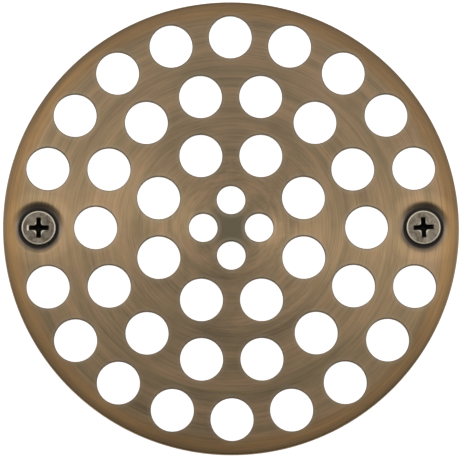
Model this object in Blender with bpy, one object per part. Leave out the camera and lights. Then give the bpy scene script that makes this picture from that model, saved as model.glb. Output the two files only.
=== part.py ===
"""Round screw-down floor drain grate: a perforated sheet-metal strainer plate and its two flat-head screws.

Units are metres, +Z is up. The origin is the centre of the plate's underside, the face that lies on the
drain body's ledge. The two screws stand on the X axis. Run with: blender --background --python part.py
"""

import math

import bmesh
import bpy
from mathutils import Matrix, Vector

INCH = 0.0254

# ---- strainer plate -------------------------------------------------------------------------------------
PLATE_R = 4.0 * INCH / 2  # 4 in outside diameter
SHEET = 0.0012  # sheet thickness
RIM_ROUND = 0.0005  # rounded upper edge of the rim
RIM_BREAK = 0.0002  # broken lower edge of the rim
RIM_SEGMENTS = 96

# rings of punched drain holes: pitch-circle radius, stations, first station in degrees, hole radius
HOLE_R = 3 / 8 * INCH / 2
SMALL_HOLE_R = 1 / 4 * INCH / 2
OUTER_RING = (3.375 * INCH / 2, 20, 0.0, HOLE_R)  # two of its 20 stations hold the screws
MIDDLE_RING = (2.375 * INCH / 2, 14, 0.0, HOLE_R)
INNER_RING = (1.375 * INCH / 2, 8, 22.5, HOLE_R)
CENTRE_RING = (0.490 * INCH / 2, 4, 0.0, SMALL_HOLE_R)
HOLE_SEGMENTS = 24
SMALL_HOLE_SEGMENTS = 20

# pressed dimple round each screw hole, in section: a rounded shoulder, then a cone down to the screw hole
SCREW_X = OUTER_RING[0]
DIMPLE_R = 0.0062  # where the shoulder leaves the flat
SHOULDER_R = 0.0034  # shoulder radius on the top side
CONE_ANGLE = math.radians(34)  # slope of the cone below the flat
SCREW_HOLE_R = 0.0027  # clearance hole for a No. 8 screw, at the top edge of its wall
DIMPLE_SEGMENTS = 32
SHOULDER_STEPS = 3

# ---- No. 8-32 flat-head cross-recess screw, 3/4 in long ---------------------------------------------------
PITCH = INCH / 32
MAJOR_R = 0.1640 * INCH / 2
ROOT_R = MAJOR_R - 0.61 * PITCH
HEAD_R = 0.00383
HEAD_LAND = 0.00008  # short cylindrical band round the head's edge
HEAD_ROUND = 0.00025  # rounded top edge of the head
HEAD_ANGLE = math.radians(41)  # half of the 82 degree countersunk head
SCREW_LENGTH = 0.75 * INCH
NECK_LENGTH = 0.0005
TIP_CHAMFER = 0.0006
HEAD_PROUD = 0.0002  # how far the head's top stands above the plate's top face
SCREW_SEGMENTS = 24
THREAD_SEGMENTS = 12
THREAD_PROFILE = ((0.0, 0.0), (0.40, 1.0), (0.60, 1.0))  # share of the pitch, share of the depth

# cross recess: half span and half width of the wings at the face and at the bottom
RECESS_SPAN, RECESS_WIDTH = 0.00220, 0.00052
RECESS_SPAN_LOW, RECESS_WIDTH_LOW = 0.00095, 0.00036
RECESS_CORNER = 0.00042  # rounding between two wings
RIGHT_TURN = math.radians(3)  # the right screw stopped a little past square
RECESS_DEPTH = 0.0021


def clear_scene():
    for obj in list(bpy.data.objects):
        bpy.data.objects.remove(obj, do_unlink=True)


def metal(name, colour, roughness):
    material = bpy.data.materials.new(name)
    material.use_nodes = True
    shader = material.node_tree.nodes["Principled BSDF"]
    shader.inputs["Base Color"].default_value = (*colour, 1)
    shader.inputs["Metallic"].default_value = 1.0
    shader.inputs["Roughness"].default_value = roughness
    material.diffuse_color = (*colour, 1)
    return material


def ring(bm, r, z, segments, centre=(0.0, 0.0)):
    """A closed loop of vertices on a circle."""
    return [
        bm.verts.new(
            (
                centre[0] + r * math.cos(2 * math.pi * i / segments),
                centre[1] + r * math.sin(2 * math.pi * i / segments),
                z,
            )
        )
        for i in range(segments)
    ]


def skirt(bm, upper, lower):
    """Quads between two loops that have the same number of vertices."""
    n = len(upper)
    for i in range(n):
        k = (i + 1) % n
        bm.faces.new((upper[i], upper[k], lower[k], lower[i]))


def turned(bm, profile, segments, centre=(0.0, 0.0)):
    """The loops of a turned surface along a list of (radius, height)."""
    loops = [ring(bm, r, z, segments, centre) for r, z in profile]
    for a, b in zip(loops, loops[1:]):
        skirt(bm, a, b)
    return loops


def fill_between(bm, loops):
    """One flat face, cut into triangles, inside the first loop and outside all the others."""
    edges = []
    for loop in loops:
        for i, v in enumerate(loop):
            w = loop[(i + 1) % len(loop)]
            edges.append(bm.edges.get((v, w)) or bm.edges.new((v, w)))
    bmesh.ops.triangle_fill(bm, use_beauty=True, use_dissolve=False, edges=edges)


def to_object(bm, name, material, location=(0, 0, 0), smooth=35):
    bmesh.ops.recalc_face_normals(bm, faces=bm.faces)
    mesh = bpy.data.meshes.new(name)
    bm.to_mesh(mesh)
    bm.free()
    mesh.materials.append(material)
    mesh.shade_smooth()
    mesh.set_sharp_from_angle(angle=math.radians(smooth))
    obj = bpy.data.objects.new(name, mesh)
    obj.location = location
    bpy.context.scene.collection.objects.link(obj)
    return obj


def hole_stations():
    """(x, y, radius) of each drain hole."""
    found = []
    for pitch_r, count, first, hole_r in (OUTER_RING, MIDDLE_RING, INNER_RING, CENTRE_RING):
        for i in range(count):
            angle = math.radians(first + 360 * i / count)
            if pitch_r == OUTER_RING[0] and i in (0, count // 2):
                continue  # the screws' stations
            found.append((pitch_r * math.cos(angle), pitch_r * math.sin(angle), hole_r))
    return found


def dimple_profile():
    """(radius, height above the top face) down the top side of the dimple, square through the sheet at the screw hole
    and back up the underside."""
    top, under = [], []
    for i in range(SHOULDER_STEPS + 1):
        a = CONE_ANGLE * i / SHOULDER_STEPS
        top.append((DIMPLE_R - SHOULDER_R * math.sin(a), SHOULDER_R * (math.cos(a) - 1)))
        inner = SHOULDER_R - SHEET
        under.append((DIMPLE_R - inner * math.sin(a), inner * math.cos(a) - SHOULDER_R))
    r, z = top[-1]
    top.append((SCREW_HOLE_R, z - (r - SCREW_HOLE_R) * math.tan(CONE_ANGLE)))
    r, z = top[-1]
    under.append((r + SHEET * math.sin(CONE_ANGLE), z - SHEET * math.cos(CONE_ANGLE)))
    return top + under[::-1]


def strainer_plate(material):
    bm = bmesh.new()
    over, below = [], []
    # rim, from the top face outwards and down to the underside
    steps = 2
    profile = [
        (
            PLATE_R - RIM_ROUND + RIM_ROUND * math.sin(math.pi / 2 * i / steps),
            SHEET - RIM_ROUND + RIM_ROUND * math.cos(math.pi / 2 * i / steps),
        )
        for i in range(steps + 1)
    ]
    profile += [(PLATE_R, RIM_BREAK), (PLATE_R - RIM_BREAK, 0.0)]
    loops = turned(bm, profile, RIM_SEGMENTS)
    over.append(loops[0])
    below.append(loops[-1])
    # punched holes
    for x, y, r in hole_stations():
        segments = HOLE_SEGMENTS if r == HOLE_R else SMALL_HOLE_SEGMENTS
        loops = turned(bm, [(r, SHEET), (r, 0.0)], segments, (x, y))
        over.append(loops[0])
        below.append(loops[-1])
    # pressed dimples with their screw holes
    for side in (-1, 1):
        profile = [(r, SHEET + z) for r, z in dimple_profile()]
        loops = turned(bm, profile, DIMPLE_SEGMENTS, (side * SCREW_X, 0.0))
        over.append(loops[0])
        below.append(loops[-1])
    fill_between(bm, over)
    fill_between(bm, below)
    return to_object(bm, "strainer_plate", material)


def thread_columns(z_low, z_high):
    """The screw thread as points (radius, angle, height), one column for each angle step, from z_low up to z_high.
    The ridge fades out over one pitch at each end, and heights past an end are held at it."""
    count = len(THREAD_PROFILE)
    turns = math.ceil((z_high - z_low) / PITCH) + 2
    columns = []
    for j in range(THREAD_SEGMENTS + 1):
        column = []
        for m in range(turns * count + 1):
            share, depth = THREAD_PROFILE[m % count]
            z = z_low - PITCH + PITCH * (m // count + share + j / THREAD_SEGMENTS)
            z = min(max(z, z_low), z_high)
            fade = min(1.0, (z - z_low) / PITCH, (z_high - z) / PITCH)
            column.append((ROOT_R + (MAJOR_R - ROOT_R) * depth * fade, 2 * math.pi * j / THREAD_SEGMENTS, z))
        columns.append(column)
    return columns


def recess_outline(span, width, corner):
    """Points of a four-winged cross with its inner corners rounded, anticlockwise."""
    points = []
    for quarter in range(4):
        turn = Matrix.Rotation(quarter * math.pi / 2, 2)
        wing = [(span, -width), (span, width)]
        middle = width + corner
        for i in range(3):  # the rounding runs from this wing's side to the next wing's
            a = math.radians(-90 - 45 * i)
            wing.append((middle + corner * math.cos(a), middle + corner * math.sin(a)))
        points += [turn @ Vector(p) for p in wing]
    return points


def recess_cutter(name):
    """Cutter for the cross recess: wings that narrow towards the bottom, with a point below them."""
    bm = bmesh.new()
    layers = []
    for z, share in ((0.0006, -0.12), (0.0, 0.0), (-RECESS_DEPTH, 1.0)):
        span = RECESS_SPAN + (RECESS_SPAN_LOW - RECESS_SPAN) * share
        width = RECESS_WIDTH + (RECESS_WIDTH_LOW - RECESS_WIDTH) * share
        corner = RECESS_CORNER * (1 - 0.7 * share)
        layers.append([bm.verts.new((p.x, p.y, z)) for p in recess_outline(span, width, corner)])
    for a, b in zip(layers, layers[1:]):
        skirt(bm, a, b)
    bm.faces.new(layers[0])
    point = bm.verts.new((0, 0, -RECESS_DEPTH - 0.0004))
    low = layers[-1]
    for i, v in enumerate(low):
        bm.faces.new((v, low[(i + 1) % len(low)], point))
    bmesh.ops.recalc_face_normals(bm, faces=bm.faces)
    mesh = bpy.data.meshes.new(name)
    bm.to_mesh(mesh)
    bm.free()
    cutter = bpy.data.objects.new(name, mesh)
    cutter.hide_render = True
    cutter.display_type = "WIRE"
    bpy.context.scene.collection.objects.link(cutter)
    return cutter


def flat_head_screw():
    """The screw with its head's top at z = 0: turned head and neck, real helical thread, chamfered tip."""
    bm = bmesh.new()
    # head, from the middle of its top face outwards and down the cone
    steps = 2
    head = [
        (
            HEAD_R - HEAD_ROUND + HEAD_ROUND * math.sin(math.pi / 2 * i / steps),
            -HEAD_ROUND + HEAD_ROUND * math.cos(math.pi / 2 * i / steps),
        )
        for i in range(steps + 1)
    ]
    z = -HEAD_ROUND - HEAD_LAND
    head.append((HEAD_R, z))
    z -= (HEAD_R - ROOT_R) / math.tan(HEAD_ANGLE)
    head.append((ROOT_R, z))
    loops = turned(bm, head, SCREW_SEGMENTS)
    bm.faces.new(loops[0])
    neck = loops[-1]

    # thread, in columns that climb one pitch from the first to the last
    z_high = z - NECK_LENGTH
    z_low = -SCREW_LENGTH + TIP_CHAMFER
    columns = [
        [bm.verts.new((r * math.cos(a), r * math.sin(a), h)) for r, a, h in column]
        for column in thread_columns(z_low, z_high)
    ]
    for left, right in zip(columns, columns[1:]):
        for m in range(len(left) - 1):
            bm.faces.new((left[m], right[m], right[m + 1], left[m + 1]))
    bmesh.ops.remove_doubles(bm, verts=bm.verts, dist=2e-6)
    bmesh.ops.dissolve_degenerate(bm, dist=2e-6, edges=bm.edges)

    def open_loop(height):
        """The open loop of the thread at one height, in order of angle."""
        found = [v for v in bm.verts if v.is_boundary and abs(v.co.z - height) < 1e-6]
        found.sort(key=lambda v: (math.atan2(v.co.y, v.co.x) + 1e-4) % (2 * math.pi))
        return found

    # two facets of the neck meet each facet of the thread
    top, low = open_loop(z_high), open_loop(z_low)
    for i in range(THREAD_SEGMENTS):
        k = (i + 1) % THREAD_SEGMENTS
        a, b, c = neck[2 * i], neck[2 * i + 1], neck[(2 * i + 2) % SCREW_SEGMENTS]
        bm.faces.new((a, b, top[i]))
        bm.faces.new((b, c, top[k]))
        bm.faces.new((b, top[k], top[i]))
    tip = ring(bm, ROOT_R - TIP_CHAMFER * 0.7, -SCREW_LENGTH, THREAD_SEGMENTS)
    skirt(bm, low, tip)
    bm.faces.new(tip)
    return bm


def place_screw(name, side, turn, material):
    """One screw and its recess cutter, both under an empty on the screw's axis. The recess alone takes the turn."""
    holder = bpy.data.objects.new(name + "_axis", None)
    holder.empty_display_size = 0.01
    holder.location = (side * SCREW_X, 0, SHEET + HEAD_PROUD)
    bpy.context.scene.collection.objects.link(holder)
    cutter = recess_cutter(name + "_recess")
    cutter.rotation_euler = (0, 0, turn)
    screw = to_object(flat_head_screw(), name, material)
    cutter.parent = screw.parent = holder
    cut = screw.modifiers.new("cross_recess", "BOOLEAN")
    cut.operation = "DIFFERENCE"
    cut.solver = "EXACT"
    cut.object = cutter


def main():
    clear_scene()
    antique_brass = metal("antique_brass", (0.30, 0.22, 0.13), 0.42)
    antique_screw = metal("antique_screw", (0.26, 0.23, 0.18), 0.40)
    strainer_plate(antique_brass)
    place_screw("screw_left", -1, 0.0, antique_screw)
    place_screw("screw_right", 1, RIGHT_TURN, antique_screw)


main()
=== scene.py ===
"""Looks of the round floor drain grate: a brushed, oxidised strainer plate and its two cross-recess screws.

Metres, +Z up, the origin at the centre of the plate's underside. The plate and the screws repeat the dimensions of
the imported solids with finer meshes: rolled hole edges, a rounded rim, smooth dimples, real threads and recesses.
"""

import math
import bmesh
import bpy
from mathutils import Matrix, Vector
from mathutils.geometry import delaunay_2d_cdt


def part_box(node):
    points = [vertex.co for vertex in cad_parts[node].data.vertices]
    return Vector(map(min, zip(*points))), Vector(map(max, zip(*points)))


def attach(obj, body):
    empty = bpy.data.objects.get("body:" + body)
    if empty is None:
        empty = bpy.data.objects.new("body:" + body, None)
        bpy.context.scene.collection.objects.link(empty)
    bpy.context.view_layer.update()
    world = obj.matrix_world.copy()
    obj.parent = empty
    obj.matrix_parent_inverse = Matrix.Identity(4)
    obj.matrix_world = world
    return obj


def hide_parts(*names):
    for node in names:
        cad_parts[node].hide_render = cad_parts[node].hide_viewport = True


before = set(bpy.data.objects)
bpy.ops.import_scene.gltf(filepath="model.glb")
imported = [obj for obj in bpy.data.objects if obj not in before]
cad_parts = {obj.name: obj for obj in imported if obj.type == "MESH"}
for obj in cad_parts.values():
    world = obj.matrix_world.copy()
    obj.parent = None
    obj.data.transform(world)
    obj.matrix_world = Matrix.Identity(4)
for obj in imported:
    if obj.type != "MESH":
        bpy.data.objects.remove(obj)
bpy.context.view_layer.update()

INCH = 0.0254
MM = 0.001

# ---- places and sizes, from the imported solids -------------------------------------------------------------
plate_low, plate_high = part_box("strainer_plate")
PLATE_R = plate_high.x
TOP = plate_high.z  # the plate's top face; its underside is z = 0
SCREWS = {}
for _name in ("screw_left", "screw_right"):
    _low, _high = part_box(_name)
    SCREWS[_name] = ((_low.x + _high.x) / 2, _high.z, _low.z, (_high.x - _low.x) / 2)
SCREW_X = abs(SCREWS["screw_right"][0])
HEAD_TOP, SCREW_TIP = SCREWS["screw_right"][1:3]
HEAD_R = SCREWS["screw_right"][3]

HOLE_R = 3 / 8 * INCH / 2
SMALL_HOLE_R = 1 / 4 * INCH / 2
RINGS = (  # pitch-circle radius, stations, first station in degrees, hole radius
    (3.375 * INCH / 2, 20, 0.0, HOLE_R),
    (2.375 * INCH / 2, 14, 0.0, HOLE_R),
    (1.375 * INCH / 2, 8, 22.5, HOLE_R),
    (0.490 * INCH / 2, 4, 0.0, SMALL_HOLE_R),
)

RIM_ROUND = 0.50 * MM
RIM_BREAK = 0.20 * MM
ROLL_WIDE, ROLL_DEEP = 0.26 * MM, 0.16 * MM  # rolled-over edge of each punched hole
EDGE_BREAK = 0.06 * MM
GUARD = 0.03 * MM  # narrow flat strip that keeps the face's normals exactly upright
HALO = 1.1 * MM  # loop that carries the darker finish round each hole

DIMPLE_R = 6.2 * MM
SHOULDER_R = 3.4 * MM
CONE_ANGLE = math.radians(34)
SCREW_HOLE_R = 2.7 * MM

PITCH = INCH / 32
MAJOR_R = 0.1640 * INCH / 2
ROOT_R = MAJOR_R - 0.61 * PITCH
TURNS = {"screw_left": 0.0, "screw_right": math.radians(3)}  # where each cross recess stopped
HEAD_LAND = 0.08 * MM
HEAD_ROUND = 0.25 * MM
HEAD_ANGLE = math.radians(41)
NECK_LENGTH = 0.5 * MM
TIP_CHAMFER = 0.6 * MM

# ---- light ------------------------------------------------------------------------------------------------
STRIP_TURN = -8.0  # degrees, the long softbox's turn about Z
STRIP_LEAN = 10.0  # degrees from straight up to its middle line, towards the back
STRIP_HEIGHT = 0.32
STRIP_LONG = 2.3
STRIP_WIDE = 0.15
STRIP_POWER = 0.74
BACK_PLACE = (0.0, 0.10, 0.16)  # small softbox close behind
BACK_LONG, BACK_WIDE = 0.25, 0.12
BACK_POWER = 0.034
DIM_LEVEL = 0.033
SIDE_LEVEL = 0.35
SPILL_LEVEL = 0.065
WALL_LEVEL = 0.13
FLOOR_GLOW = 0.88

scene = bpy.context.scene


# ---- mesh tools -------------------------------------------------------------------------------------------
class Shape:
    """A mesh in the making. Each vertex carries two values that the materials read: one for patina and painted shade,
    0 on open faces and 1 in recesses, and one for wear and painted highlights.
    """

    def __init__(self):
        self.bm = bmesh.new()
        self.patina_and_shade = self.bm.verts.layers.float.new("patina_and_shade")
        self.wear_and_highlight = self.bm.verts.layers.float.new("wear_and_highlight")

    def vert(self, x, y, z, patina_and_shade=0.0, wear_and_highlight=0.0):
        v = self.bm.verts.new((x, y, z))
        v[self.patina_and_shade] = patina_and_shade
        v[self.wear_and_highlight] = wear_and_highlight
        return v

    def ring(self, r, z, segments, centre=(0.0, 0.0), patina_and_shade=0.0, wear_and_highlight=0.0):
        return [
            self.vert(
                centre[0] + r * math.cos(2 * math.pi * i / segments),
                centre[1] + r * math.sin(2 * math.pi * i / segments),
                z,
                patina_and_shade,
                wear_and_highlight,
            )
            for i in range(segments)
        ]

    def skirt(self, upper, lower):
        n = len(upper)
        for i in range(n):
            k = (i + 1) % n
            self.bm.faces.new((upper[i], upper[k], lower[k], lower[i]))

    def turned(self, profile, segments, centre=(0.0, 0.0)):
        """Loops along a list of (radius, height, patina and painted shade, wear and painted highlight)."""
        loops = [self.ring(r, z, segments, centre, patina_and_shade, wear_and_highlight) for r, z, patina_and_shade, wear_and_highlight in profile]
        for a, b in zip(loops, loops[1:]):
            self.skirt(a, b)
        return loops

    def flat(self, loops):
        """Triangles on a plane between the first loop, which is convex, and the others, which are holes in it."""
        verts, edges, holes = [], [], []
        for n, loop in enumerate(loops):
            first = len(verts)
            verts += loop
            edges += [(first + i, first + (i + 1) % len(loop)) for i in range(len(loop))]
            if n:
                middle = sum((v.co for v in loop), Vector()) / len(loop)
                reach = max((v.co.xy - middle.xy).length for v in loop)
                holes.append((middle.xy, reach, [v.co.xy for v in loop]))
        points, _, faces, origin, _, _ = delaunay_2d_cdt([v.co.xy for v in verts], edges, [], 0, 1e-9)
        for face in faces:
            corners = [verts[origin[i][0]] for i in face]
            middle = sum((v.co.xy for v in corners), Vector((0, 0))) / len(corners)
            inside = False
            for centre, reach, outline in holes:
                if (middle - centre).length < reach and _within(middle, outline):
                    inside = True
                    break
            if not inside:
                self.bm.faces.new(corners)

    def finish(self, name, material, body, replaces, slot, smooth=40):
        bmesh.ops.recalc_face_normals(self.bm, faces=self.bm.faces)
        mesh = bpy.data.meshes.new(name)
        self.bm.to_mesh(mesh)
        self.bm.free()
        mesh.materials.append(material)
        mesh.shade_smooth()
        mesh.set_sharp_from_angle(angle=math.radians(smooth))
        obj = bpy.data.objects.new(name, mesh)
        scene.collection.objects.link(obj)
        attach(obj, body)
        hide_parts(replaces)
        return obj


def _within(point, outline):
    """True if the point is inside the closed outline."""
    x, y = point
    found = False
    for i, a in enumerate(outline):
        b = outline[i - 1]
        if (a[1] > y) != (b[1] > y) and x < (b[0] - a[0]) * (y - a[1]) / (b[1] - a[1]) + a[0]:
            found = not found
    return found


# ---- plate ------------------------------------------------------------------------------------------------
def hole_profile(r):
    """Down through a punched hole: the edge rolled over on the face side, a sheared wall, a small break below."""
    steps = 5
    # the face round the hole and the roll are painted a little lighter, as wear and a painted highlight; the roll
    # darkens into a near black wall, as patina and painted shade
    found = [(r + HALO, TOP, 0.0, 0.0), (r + 0.62 * MM, TOP, 0.0, 0.15), (r + ROLL_WIDE + GUARD, TOP, 0.0, 0.18)]
    for i in range(steps + 1):
        a = math.pi / 2 * i / steps
        found.append(
            (
                r + ROLL_WIDE * (1 - math.sin(a)),
                TOP - ROLL_DEEP * (1 - math.cos(a)),
                0.85 * (i / steps) ** 1.4,
                0.20 * (1 - (i / steps) ** 2),
            )
        )
    found += [
        (r, TOP * 0.45, 1.0, 0.0),
        (r, EDGE_BREAK, 1.0, 0.0),
        (r + EDGE_BREAK, 0.0, 0.6, 0.0),
        (r + EDGE_BREAK + GUARD, 0.0, 0.3, 0.0),
    ]
    return found


def dimple_profile():
    steps = 14
    top, under = [(DIMPLE_R + 0.32 * MM, 0.0, 0.0), (DIMPLE_R + GUARD, 0.0, 0.0)], []
    inner = SHOULDER_R - TOP
    for i in range(steps + 1):
        a = CONE_ANGLE * i / steps
        top.append((DIMPLE_R - SHOULDER_R * math.sin(a), SHOULDER_R * (math.cos(a) - 1), 0.05 * (i / steps) ** 3))
        under.append((DIMPLE_R - inner * math.sin(a), inner * math.cos(a) - SHOULDER_R, 0.3))
    r0, z0 = top[-1][:2]
    # down the cone the dimple is painted darker, reaching near black at the screw hole, as patina and painted shade
    # in the gap under the head
    for share, patina_and_shade in ((0.12, 0.02), (0.26, 0.12), (0.5, 0.85), (0.75, 1.0), (1.0, 1.0)):
        r = r0 + (SCREW_HOLE_R - r0) * share
        top.append((r, z0 - (r0 - r) * math.tan(CONE_ANGLE), patina_and_shade))
    r, z = top[-1][:2]
    under.append((r + TOP * math.sin(CONE_ANGLE), z - TOP * math.cos(CONE_ANGLE), 0.6))
    return [(r, TOP + z, patina_and_shade, 0.0) for r, z, patina_and_shade in top + under[::-1] + [(DIMPLE_R + GUARD, -TOP, 0.1)]]


def make_plate(material):
    s = Shape()
    over, below = [], []
    steps = 8
    profile = [(PLATE_R - RIM_ROUND - 0.9 * MM, TOP, 0.0, 0.0), (PLATE_R - RIM_ROUND - GUARD, TOP, 0.0, 0.0)]
    # the rounded rim is painted a little lighter along its curve, as wear and a painted highlight; the break below is
    # painted darker, as patina and painted shade
    for i in range(steps + 1):
        a = math.pi / 2 * i / steps
        profile.append(
            (
                PLATE_R - RIM_ROUND + RIM_ROUND * math.sin(a),
                TOP - RIM_ROUND + RIM_ROUND * math.cos(a),
                0.0,
                0.08 * math.sin(min(1.0, 1.3 * i / steps) * math.pi),
            )
        )
    for i in range(4):
        a = math.pi / 2 * i / 3
        profile.append(
            (PLATE_R - RIM_BREAK + RIM_BREAK * math.cos(a), RIM_BREAK - RIM_BREAK * math.sin(a), 0.3, 0.0)
        )
    profile.append((PLATE_R - RIM_BREAK - GUARD, 0.0, 0.2, 0.0))
    loops = s.turned(profile, 288)
    over.append(loops[0])
    below.append(loops[-1])
    for pitch_r, count, first, r in RINGS:
        for i in range(count):
            if count == 20 and i in (0, 10):
                continue  # the screws' stations
            a = math.radians(first + 360 * i / count)
            centre = (pitch_r * math.cos(a), pitch_r * math.sin(a))
            loops = s.turned(hole_profile(r), 64 if r == HOLE_R else 48, centre)
            over.append(loops[0])
            below.append(loops[-1])
    for side in (-1, 1):
        loops = s.turned(dimple_profile(), 96, (side * SCREW_X, 0.0))
        over.append(loops[0])
        below.append(loops[-1])
    s.flat(over)
    s.flat(below)
    return s.finish("plate_brushed", material, "plate", "strainer_plate", "antique_brass", 50)


# ---- screws -----------------------------------------------------------------------------------------------
def cross_outline(span, width, corner, tip):
    """Points of a four-winged cross, anticlockwise: rounded wing tips and rounded inner corners."""
    points = []
    for quarter in range(4):
        turn = Matrix.Rotation(quarter * math.pi / 2, 2)
        wing = []
        for i in range(4):  # lower corner of the tip
            a = math.radians(-90 + 30 * i)
            wing.append((span - tip + tip * math.cos(a), -width + tip + tip * math.sin(a)))
        for i in range(4):  # upper corner of the tip
            a = math.radians(30 * i)
            wing.append((span - tip + tip * math.cos(a), width - tip + tip * math.sin(a)))
        middle = width + corner
        for i in range(7):
            a = math.radians(-90 - 15 * i)
            wing.append((middle + corner * math.cos(a), middle + corner * math.sin(a)))
        points += [turn @ Vector(p) for p in wing]
    return points


RECESS = (  # depth, half span, half width, inner corner radius, tip radius, patina and painted shade, wear and painted highlight
    (0.00, 2.34, 0.57, 1.24, 0.20, 0.00, 0.55),
    (0.03, 2.26, 0.545, 0.84, 0.19, 0.00, 0.90),
    (0.08, 2.20, 0.525, 0.52, 0.18, 0.00, 0.70),
    (0.20, 2.16, 0.51, 0.40, 0.18, 0.85, 0.00),
    (0.80, 1.95, 0.46, 0.34, 0.16, 0.96, 0.00),
    (1.20, 1.62, 0.42, 0.28, 0.14, 0.98, 0.00),
    (1.70, 1.22, 0.36, 0.22, 0.12, 1.00, 0.00),
    (2.15, 0.85, 0.33, 0.14, 0.10, 1.00, 0.00),
)
TIP_POINTS, CROSS_POINTS = 8, 15  # points of each quarter of the outline: on the wing's tip, and in all


def thread_profile():
    """(share of the pitch, share of the depth, patina and painted shade) of one 60 degree thread with a flat crest
    and a rounded root.
    """
    return ((0.0, 0.0, 0.75), (0.10, 0.04, 0.7), (0.40, 0.90, 0.1), (0.455, 1.0, 0.0), (0.545, 1.0, 0.0), (0.60, 0.90, 0.1), (0.90, 0.04, 0.7))


def make_screw(name, material):
    x0 = SCREWS[name][0]
    s = Shape()
    n_head = 96
    # head: flat face, rounded edge, short land, cone
    steps = 6
    head = [(HEAD_R - HEAD_ROUND - 0.13 * MM, 0.0, 0.0, 0.0), (HEAD_R - HEAD_ROUND - GUARD, 0.0, 0.0, 0.95)]
    for i in range(steps + 1):
        # the rounded edge is painted light on its upper part, as wear and a painted highlight, and dark on its outer
        # part, as patina and painted shade in the gap round the head; the underside below is painted darker too
        a = math.pi / 2 * i / steps
        head.append(
            (
                HEAD_R - HEAD_ROUND + HEAD_ROUND * math.sin(a),
                -HEAD_ROUND + HEAD_ROUND * math.cos(a),
                (0.0, 0.0, 0.0, 0.1, 0.45, 0.85, 0.95)[i],
                (1.0, 1.0, 0.9, 0.4, 0.1, 0.0, 0.0)[i],
            )
        )
    z = -HEAD_ROUND - HEAD_LAND
    head.append((HEAD_R, z, 0.8, 0.0))
    fall = (HEAD_R - ROOT_R) / math.tan(HEAD_ANGLE)
    for i in (1, 2, 3):
        head.append((HEAD_R - (HEAD_R - ROOT_R) * i / 3, z - fall * i / 3, 0.6, 0.0))
    z -= fall
    head.append((ROOT_R, z - NECK_LENGTH * 0.9, 0.5, 0.0))
    loops = s.turned(head, n_head)
    # cross recess
    layers = []
    for level, (depth, span, width, corner, tip, patina_and_shade, wear_and_highlight) in enumerate(RECESS):
        layer = []
        for i, p in enumerate(cross_outline(*(v * MM for v in (span, width, corner, tip)))):
            quarter, place = divmod(i, CROSS_POINTS)
            if place >= TIP_POINTS:  # the sloped corner between two wings, rubbed bright by the bit and painted lighter still as a painted highlight
                layer.append(s.vert(p.x, p.y, -depth * MM, patina_and_shade, wear_and_highlight))
            elif name == "screw_left" and quarter == 2:  # a painted glint on one wing's tip, where a burr catches the light
                layer.append(s.vert(p.x, p.y, -depth * MM, 0.0 if level < 3 else patina_and_shade, 1.0 if level < 3 else 0.0))
            # the wing tips are painted dark, as patina and painted shade
            else:
                layer.append(s.vert(p.x, p.y, -depth * MM, 0.1 if level == 0 else max(patina_and_shade, 0.8), 0.0))
        layers.append(layer)
    guards = []
    for off in (0.03, 0.07):
        guard = []
        for i, p in enumerate(cross_outline(*(v * MM for v in (2.34 + off, 0.57 + off, 1.24 - off, 0.20 + off)))):
            # this wing tip's guard loops reach out onto the face, and the inner one carries the painted glint
            burr_glint = name == "screw_left" and i // CROSS_POINTS == 2 and i % CROSS_POINTS < TIP_POINTS
            guard.append(s.vert(p.x - 0.22 * MM * burr_glint, p.y, 0.0, 0.0, 1.0 * (burr_glint and off < 0.05)))
        guards.append(guard)
    s.skirt(guards[0], layers[0])
    s.skirt(guards[1], guards[0])
    guard = guards[1]
    for a, b in zip(layers, layers[1:]):
        s.skirt(a, b)
    low = layers[-1]
    point = s.vert(0, 0, -2.45 * MM, 1.0)
    for i, v in enumerate(low):
        s.bm.faces.new((v, low[(i + 1) % len(low)], point))
    s.flat([loops[0], guard])
    # thread
    n_thread = 48
    z_high = z - NECK_LENGTH
    z_low = -(HEAD_TOP - SCREW_TIP) + TIP_CHAMFER
    profile = thread_profile()
    turns = math.ceil((z_high - z_low) / PITCH) + 2
    columns = []
    for j in range(n_thread + 1):
        column = []
        for m in range(turns * len(profile) + 1):
            share, depth, patina_and_shade = profile[m % len(profile)]
            h = z_low - PITCH + PITCH * (m // len(profile) + share + j / n_thread)
            h = min(max(h, z_low), z_high)
            fade = min(1.0, (h - z_low) / PITCH, (z_high - h) / PITCH)
            r = ROOT_R + (MAJOR_R - ROOT_R) * depth * fade
            a = 2 * math.pi * j / n_thread
            column.append(s.vert(r * math.cos(a), r * math.sin(a), h, patina_and_shade, 0.6 * (depth > 0.95)))
        columns.append(column)
    for left, right in zip(columns, columns[1:]):
        for m in range(len(left) - 1):
            s.bm.faces.new((left[m], right[m], right[m + 1], left[m + 1]))
    bmesh.ops.remove_doubles(s.bm, verts=[v for column in columns for v in column], dist=1.5e-6)
    bmesh.ops.dissolve_degenerate(s.bm, dist=1e-6, edges=s.bm.edges)

    def open_loop(height):
        found = [v for v in s.bm.verts if v.is_boundary and abs(v.co.z - height) < 1e-6]
        found.sort(key=lambda v: (math.atan2(v.co.y, v.co.x) + 1e-4) % (2 * math.pi))
        return found

    top, low = open_loop(z_high), open_loop(z_low)
    neck = loops[-1]
    for i in range(n_thread):
        k = (i + 1) % n_thread
        a, b, c = neck[2 * i], neck[2 * i + 1], neck[(2 * i + 2) % n_head]
        s.bm.faces.new((a, b, top[i]))
        s.bm.faces.new((b, c, top[k]))
        s.bm.faces.new((b, top[k], top[i]))
    tip = s.ring(ROOT_R - TIP_CHAMFER * 0.7, -(HEAD_TOP - SCREW_TIP), n_thread, patina_and_shade=0.1)
    s.skirt(low, tip)
    s.bm.faces.new(tip)
    bmesh.ops.rotate(s.bm, verts=s.bm.verts, matrix=Matrix.Rotation(TURNS[name], 3, "Z"))
    bmesh.ops.translate(s.bm, verts=s.bm.verts, vec=(x0, 0, HEAD_TOP))
    return s.finish(name + "_turned", material, name, name, "antique_screw", 32)


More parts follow.
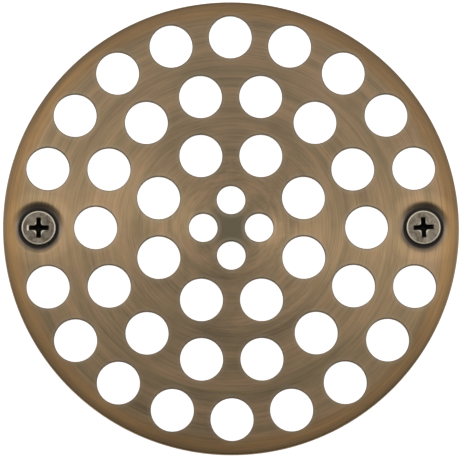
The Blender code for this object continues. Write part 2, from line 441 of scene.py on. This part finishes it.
# ---- node tools -------------------------------------------------------------------------------------------
class Nodes:
    def __init__(self, tree):
        self.tree = tree

    def add(self, kind, **inputs):
        node = self.tree.nodes.new(kind)
        for key, value in inputs.items():
            self.put(node.inputs[key.replace("_", " ")], value)
        return node

    def put(self, socket, value):
        if isinstance(value, bpy.types.NodeSocket):
            self.tree.links.new(value, socket)
        else:
            socket.default_value = value

    def math(self, operation, a, b=None, c=None, clamp=False):
        node = self.tree.nodes.new("ShaderNodeMath")
        node.operation = operation
        node.use_clamp = clamp
        for socket, value in zip(node.inputs, (a, b, c)):
            if value is not None:
                self.put(socket, value)
        return node.outputs[0]

    def noise(self, vector, scale, detail=3.0, roughness=0.55, distortion=0.0):
        node = self.add("ShaderNodeTexNoise", Vector=vector, Scale=scale, Detail=detail, Roughness=roughness, Distortion=distortion)
        return node.outputs["Fac"]

    def vector(self, x, y, z):
        return self.add("ShaderNodeCombineXYZ", X=x, Y=y, Z=z).outputs[0]

    def map(self, value, a0, a1, b0, b1, smooth=False):
        node = self.tree.nodes.new("ShaderNodeMapRange")
        node.interpolation_type = "SMOOTHSTEP" if smooth else "LINEAR"
        for socket, v in zip(node.inputs, (value, a0, a1, b0, b1)):
            self.put(socket, v)
        return node.outputs[0]

    def mix(self, factor, a, b, blend="MIX"):
        node = self.tree.nodes.new("ShaderNodeMix")
        node.data_type = "RGBA"
        node.blend_type = blend
        node.clamp_factor = True
        self.put(node.inputs["Factor"], factor)
        sockets = [s for s in node.inputs if s.type == "RGBA"]
        for socket, v in zip(sockets, (a, b)):
            self.put(socket, v)
        return [s for s in node.outputs if s.type == "RGBA"][0]


def new_material(name):
    material = bpy.data.materials.new(name)
    material.use_nodes = True
    tree = material.node_tree
    shader = tree.nodes["Principled BSDF"]
    return material, Nodes(tree), shader


def rgb(r, g, b):
    return (r, g, b, 1.0)


def plate_material():
    material, n, shader = new_material("antique_brass_brushed")
    here = n.add("ShaderNodeTexCoord").outputs["Object"]
    xyz = n.add("ShaderNodeSeparateXYZ", Vector=here)
    x, y, z = xyz.outputs
    r = n.math("SQRT", n.math("ADD", n.math("MULTIPLY", x, x), n.math("MULTIPLY", y, y)))
    safe = n.math("MAXIMUM", r, 1e-5)
    cos_a, sin_a = n.math("DIVIDE", x, safe), n.math("DIVIDE", y, safe)
    patina_and_shade = n.add("ShaderNodeAttribute")
    patina_and_shade.attribute_name = "patina_and_shade"
    patina_and_shade = patina_and_shade.outputs["Fac"]
    wear_and_highlight = n.add("ShaderNodeAttribute")
    wear_and_highlight.attribute_name = "wear_and_highlight"
    wear_and_highlight = wear_and_highlight.outputs["Fac"]

    # circular brushing: long arcs of streaks at four widths, and a few strokes round other centres
    def streaks(per_mm, spread, seed, detail, off=(0.0, 0.0)):
        if off == (0.0, 0.0):
            far, c, d = r, cos_a, sin_a
        else:
            dx, dy = n.math("SUBTRACT", x, off[0] * MM), n.math("SUBTRACT", y, off[1] * MM)
            far = n.math("SQRT", n.math("ADD", n.math("MULTIPLY", dx, dx), n.math("MULTIPLY", dy, dy)))
            c, d = n.math("DIVIDE", dx, far), n.math("DIVIDE", dy, far)
        along, across = n.math("MULTIPLY", c, spread), n.math("MULTIPLY", d, spread)
        return n.noise(n.vector(n.math("MULTIPLY", far, per_mm * 1000), n.math("ADD", along, seed), across), 1.0, detail)

    broad = streaks(0.34, 1.5, 3.1, 3.0)
    middle = streaks(1.0, 1.7, 17.7, 3.0)
    thin = streaks(2.4, 1.9, 29.9, 2.0)
    fine = streaks(5.2, 2.4, 41.3, 1.0)
    stray_a = streaks(2.2, 2.4, 55.7, 2.0, (13.0, -9.0))
    stray_b = streaks(2.0, 2.4, 71.3, 2.0, (-11.0, 12.0))
    cloud = n.noise(here, 85.0, 4.0, 0.6, 0.3)
    patch = n.map(n.noise(n.vector(x, y, 0.31), 55.0, 2.0), 0.50, 0.62, 0.0, 1.0, True)

    tan = rgb(0.440, 0.292, 0.150)
    pink = rgb(0.448, 0.287, 0.150)
    khaki = rgb(0.432, 0.302, 0.150)
    rim = rgb(0.430, 0.240, 0.082)
    colour = n.mix(n.map(middle, 0.38, 0.62, 0.0, 1.0), khaki, tan)
    colour = n.mix(n.map(broad, 0.45, 0.65, 0.0, 0.9), colour, pink)
    colour = n.mix(n.map(r, 0.0456, 0.0490, 0.0, 0.85, True), colour, rim)
    value = n.math("ADD", n.map(cloud, 0.3, 0.7, 0.88, 1.12), n.map(fine, 0.3, 0.7, -0.16, 0.16))
    value = n.math("ADD", value, n.map(thin, 0.3, 0.7, -0.065, 0.065))
    value = n.math("ADD", value, n.map(middle, 0.3, 0.7, -0.06, 0.06))
    value = n.math("ADD", value, n.map(broad, 0.3, 0.7, -0.22, 0.22))
    stray = n.math("ADD", n.map(stray_a, 0.3, 0.7, -0.065, 0.065), n.map(stray_b, 0.3, 0.7, -0.05, 0.05))
    value = n.math("ADD", value, n.math("MULTIPLY", stray, patch))
    colour = n.mix(1.0, colour, n.vector(value, value, value), "MULTIPLY")
    # the very edge is painted darker, a painted shade where the rim rounds over
    colour = n.mix(n.map(r, 0.0486, 0.0507, 0.0, 0.62, True), colour, rgb(0.19, 0.125, 0.060))
    # how far inside a screw's dimple a point is, and how near the plate's middle
    aside = n.math("SUBTRACT", n.math("ABSOLUTE", x), SCREW_X)
    from_screw = n.math("SQRT", n.math("ADD", n.math("MULTIPLY", aside, aside), n.math("MULTIPLY", y, y)))
    in_dimple = n.map(from_screw, 0.0056, 0.0064, 1.0, 0.0, True)
    dimple_oxide_and_shade = n.map(from_screw, 0.0042, 0.0058, 1.0, 0.0, True)
    lip_highlight = n.math("MULTIPLY", n.map(from_screw, 0.0056, 0.0064, 0.0, 1.0, True), n.map(from_screw, 0.0068, 0.0090, 0.20, 0.0, True))
    in_middle = n.map(r, 0.0015, 0.0095, 1.0, 0.0, True)
    # a lighter ring just outside each dimple, a painted highlight on the dimple's lip
    lip_highlight = n.math("ADD", lip_highlight, 1.0)
    colour = n.mix(1.0, colour, n.vector(lip_highlight, lip_highlight, lip_highlight), "MULTIPLY")
    colour = n.mix(in_middle, colour, rgb(0.150, 0.116, 0.060))
    # the dimple is painted a darker grey-brown: oxide, and painted shade on its slopes
    colour = n.mix(dimple_oxide_and_shade, colour, rgb(0.262, 0.220, 0.188))
    # patina and painted shade darken the recesses, punched walls and the gap round each screw; wear and painted
    # highlights lighten the rolled edges and the rim
    colour = n.mix(n.map(patina_and_shade, 0.0, 1.0, 0.0, 0.97), colour, rgb(0.030, 0.022, 0.014))
    colour = n.mix(wear_and_highlight, colour, rgb(0.60, 0.52, 0.40))

    rough = n.math("ADD", n.map(fine, 0.3, 0.7, -0.02, 0.02), n.map(cloud, 0.3, 0.7, 0.41, 0.46))
    rough = n.math("ADD", rough, n.math("MULTIPLY", patina_and_shade, 0.2))
    grain = n.math("ADD", fine, n.math("MULTIPLY", thin, 0.8))
    bump = n.add("ShaderNodeBump", Strength=0.15, Distance=0.00003, Height=grain).outputs[0]
    metal = n.math("SUBTRACT", n.map(patina_and_shade, 0.4, 1.0, 1.0, 0.55), n.map(from_screw, 0.0039, 0.0050, 0.40, 0.0, True))
    tangent = n.add("ShaderNodeTangent")
    tangent.direction_type = "RADIAL"
    tangent.axis = "Z"

    # the brushed face, and the dull finish where the brush has no one direction
    dull = material.node_tree.nodes.new("ShaderNodeBsdfPrincipled")
    for one in (shader, dull):
        n.put(one.inputs["Base Color"], colour)
        n.put(one.inputs["Metallic"], metal)
        n.put(one.inputs["Normal"], bump)
        one.inputs["Coat Weight"].default_value = 0.8
        one.inputs["Coat Roughness"].default_value = 0.3
    n.put(shader.inputs["Roughness"], rough)
    shader.inputs["Anisotropic"].default_value = 0.85
    shader.inputs["Anisotropic Rotation"].default_value = 0.25
    n.put(shader.inputs["Tangent"], tangent.outputs[0])
    n.put(dull.inputs["Roughness"], n.math("SUBTRACT", rough, 0.12))
    both = n.add("ShaderNodeMixShader")
    n.put(both.inputs[0], n.math("MAXIMUM", in_dimple, in_middle))
    n.put(both.inputs[1], shader.outputs[0])
    n.put(both.inputs[2], dull.outputs[0])
    output = [node for node in material.node_tree.nodes if node.type == "OUTPUT_MATERIAL"][0]
    n.put(output.inputs["Surface"], both.outputs[0])
    return material


def screw_material():
    material, n, shader = new_material("antique_screw_plated")
    here = n.add("ShaderNodeTexCoord").outputs["Object"]
    patina_and_shade = n.add("ShaderNodeAttribute")
    patina_and_shade.attribute_name = "patina_and_shade"
    patina_and_shade = patina_and_shade.outputs["Fac"]
    wear_and_highlight = n.add("ShaderNodeAttribute")
    wear_and_highlight.attribute_name = "wear_and_highlight"
    wear_and_highlight = wear_and_highlight.outputs["Fac"]
    grain = n.noise(here, 1800.0, 3.0, 0.6)
    blot = n.noise(here, 620.0, 4.0, 0.65, 0.6)
    colour = n.mix(n.map(blot, 0.35, 0.65, 0.0, 1.0), rgb(0.155, 0.125, 0.092), rgb(0.40, 0.345, 0.265))
    value = n.map(grain, 0.3, 0.7, 0.8, 1.2)
    side = n.map(n.add("ShaderNodeSeparateXYZ", Vector=here).outputs[0], -0.01, 0.01, 1.0, 1.22)
    value = n.math("MULTIPLY", value, side)
    colour = n.mix(1.0, colour, n.vector(value, value, value), "MULTIPLY")
    # painted near black in the recess, under the head and in the thread roots, as patina and painted shade; painted
    # light on the head's edge, the recess corners, one wing tip and the thread crests, as wear and painted highlights
    colour = n.mix(n.map(patina_and_shade, 0.0, 1.0, 0.0, 0.97), colour, rgb(0.012, 0.010, 0.008))
    colour = n.mix(wear_and_highlight, colour, rgb(1.0, 0.92, 0.74))
    n.put(shader.inputs["Base Color"], colour)
    n.put(shader.inputs["Metallic"], n.map(patina_and_shade, 0.5, 1.0, 1.0, 0.6))
    n.put(shader.inputs["Roughness"], n.math("ADD", n.map(blot, 0.3, 0.7, 0.34, 0.46), n.math("MULTIPLY", patina_and_shade, 0.25)))
    bump = n.add("ShaderNodeBump", Strength=0.35, Distance=0.00002, Height=n.math("ADD", grain, blot))
    n.put(shader.inputs["Normal"], bump.outputs[0])
    return material


# ---- stage ------------------------------------------------------------------------------------------------
def make_floor():
    mesh = bpy.data.meshes.new("floor")
    s = bmesh.new()
    n, r = 96, 12.0
    z = SCREW_TIP - 0.2 * MM
    loops = []
    for radius in (0.3, 1.0, r):
        loops.append([s.verts.new((radius * math.cos(2 * math.pi * i / n), radius * math.sin(2 * math.pi * i / n), z)) for i in range(n)])
    s.faces.new(loops[0])
    for a, b in zip(loops, loops[1:]):
        for i in range(n):
            k = (i + 1) % n
            s.faces.new((a[i], b[i], b[k], a[k]))
    bmesh.ops.recalc_face_normals(s, faces=s.faces)
    s.to_mesh(mesh)
    s.free()
    if mesh.polygons[0].normal.z < 0:
        mesh.flip_normals()
    floor = bpy.data.objects.new("floor", mesh)
    scene.collection.objects.link(floor)
    material, _, shader = new_material("floor_pale")
    shader.inputs["Base Color"].default_value = rgb(0.86, 0.86, 0.86)
    shader.inputs["Roughness"].default_value = 0.9
    shader.inputs["Specular IOR Level"].default_value = 0.1
    shader.inputs["Emission Color"].default_value = rgb(1, 1, 1)
    shader.inputs["Emission Strength"].default_value = FLOOR_GLOW
    mesh.materials.append(material)
    return floor


def make_world():
    """Soft studio surroundings, dim all round so that the softbox shapes the metal."""
    world = bpy.data.worlds.new("studio")
    scene.world = world
    world.use_nodes = True
    n = Nodes(world.node_tree)
    background = world.node_tree.nodes["Background"]
    d = n.add("ShaderNodeTexCoord").outputs["Generated"]
    x, y, z = n.add("ShaderNodeSeparateXYZ", Vector=d).outputs
    # a little brighter to the sides and behind than in front
    sides = n.math("MULTIPLY", n.math("MULTIPLY", x, x), SIDE_LEVEL)
    behind = n.math("MULTIPLY", n.math("MAXIMUM", y, 0.0), 0.08)
    phi = n.math("ARCTAN2", y, n.math("MAXIMUM", z, 0.02))
    off = n.math("DIVIDE", n.math("SUBTRACT", phi, math.radians(12.0)), math.radians(30.0))
    spill = n.math("MULTIPLY", n.math("POWER", 2.718282, n.math("MULTIPLY", n.math("MULTIPLY", off, off), -1.0)), SPILL_LEVEL)
    light = n.math("ADD", n.math("ADD", n.math("ADD", sides, behind), DIM_LEVEL), spill)
    # pale walls low down all round, for views from the side and back
    light = n.math("ADD", light, n.map(z, 0.80, 0.45, 0.0, WALL_LEVEL, True))
    camera_ray = n.add("ShaderNodeLightPath").outputs["Is Camera Ray"]
    n.put(background.inputs["Color"], n.mix(camera_ray, n.vector(light, light, light), rgb(0.96, 0.96, 0.96)))
    background.inputs["Strength"].default_value = 1.0


def make_softbox():
    """One long softbox overhead, its middle line behind the object."""
    data = bpy.data.lights.new("softbox", "AREA")
    data.shape = "RECTANGLE"
    data.size, data.size_y = STRIP_LONG, STRIP_WIDE
    data.energy = STRIP_POWER
    light = bpy.data.objects.new("softbox", data)
    scene.collection.objects.link(light)
    turn = math.radians(STRIP_TURN)
    back = STRIP_HEIGHT * math.tan(math.radians(STRIP_LEAN))
    light.location = (-back * math.sin(turn), back * math.cos(turn), STRIP_HEIGHT)
    light.rotation_euler = (0.0, 0.0, turn)
    light.visible_camera = False

    data = bpy.data.lights.new("back_softbox", "AREA")
    data.shape = "RECTANGLE"
    data.size, data.size_y = BACK_LONG, BACK_WIDE
    data.energy = BACK_POWER
    near = bpy.data.objects.new("back_softbox", data)
    scene.collection.objects.link(near)
    near.location = BACK_PLACE
    near.rotation_mode = "QUATERNION"
    near.rotation_quaternion = Vector(near.location).to_track_quat("Z", "Y")
    near.visible_camera = False


def make_camera():
    data = bpy.data.cameras.new("camera")
    camera = bpy.data.objects.new("camera", data)
    scene.collection.objects.link(camera)
    scene.camera = camera
    # a little left of and below square on, far away through a long lens
    distance = 1.55
    aim = Vector((-0.168 * MM, -0.315 * MM, TOP))
    back = Vector((math.tan(math.radians(-1.61)), -math.tan(math.radians(6.94)), 1)).normalized()
    right = Vector((0, 1, 0)).cross(back).normalized()
    up = back.cross(right)
    roll = math.radians(-0.26)
    right, up = right * math.cos(roll) + up * math.sin(roll), up * math.cos(roll) - right * math.sin(roll)
    camera.location = aim + back * distance
    camera.rotation_mode = "QUATERNION"
    camera.rotation_quaternion = Matrix((right, up, back)).transposed().to_quaternion()
    data.sensor_fit = "HORIZONTAL"
    data.sensor_width = 36
    data.lens = 543.9
    data.clip_start, data.clip_end = 0.05, 60


scene.view_settings.view_transform = "Standard"
scene.view_settings.look = "None"

plate = make_plate(plate_material())
finish = screw_material()
for _name in SCREWS:
    make_screw(_name, finish)
make_floor()
make_world()
make_softbox()
make_camera()
